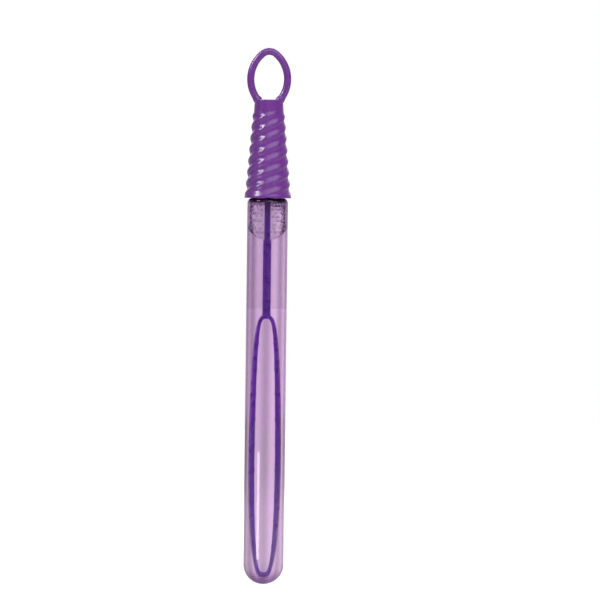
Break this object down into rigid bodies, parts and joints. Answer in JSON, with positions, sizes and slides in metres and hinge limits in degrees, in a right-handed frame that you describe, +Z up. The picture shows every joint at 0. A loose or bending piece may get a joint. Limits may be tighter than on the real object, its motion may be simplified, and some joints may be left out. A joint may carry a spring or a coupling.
{
  "type": "bubble wand",
  "caption": "Clear round-bottomed tube of bubble solution with a screw cap that is a tapering wound grip with a hang ring, and a long loop wand under it.",
  "frame": {"origin": "lowest point of the tube's round bottom, on the tube's axis", "axes": "+Z runs up the tube's axis towards the hang ring. The loop and the hang ring lie in the XZ plane, and the front is seen looking along +Y, with +X to the right."},
  "size_m": [0.0318, 0.0318, 0.3671],
  "materials": {
    "tinted_tube": "transparent lilac-tinted, glossy, blow moulded",
    "clear_film": "clear wrap film, glossy",
    "seal": "soft off-white foamed sheet",
    "wand_plastic": "injection moulded, smooth and slightly glossy",
    "cap_plastic": "injection moulded, satin to glossy"
  },
  "bodies": {
    "tube": {"tube": "tinted_tube", "label_film": "clear_film"},
    "washer": {"seal_washer": "seal"},
    "wand": {"wand": "wand_plastic"},
    "cap": {"screw_cap": "cap_plastic"}
  },
  "joints": [
    {"name": "draw_out", "type": "slide", "parent": "tube", "child": "washer", "axis": [0, 0, 1], "range_m": [0, 0.3]},
    {"name": "cap_rise", "type": "slide", "parent": "washer", "child": "wand", "axis": [0, 0, 1], "range_m": [0, 0.0045]},
    {"name": "cap_turn", "type": "hinge", "parent": "wand", "child": "cap", "pos_m": [0, 0, 0.29], "axis": [0, 0, 1], "range_deg": [0, 540]}
  ],
  "couplings": [
    {"joint": "cap_rise", "follows": "cap_turn", "m_per_rad": 0.000477}
  ]
}
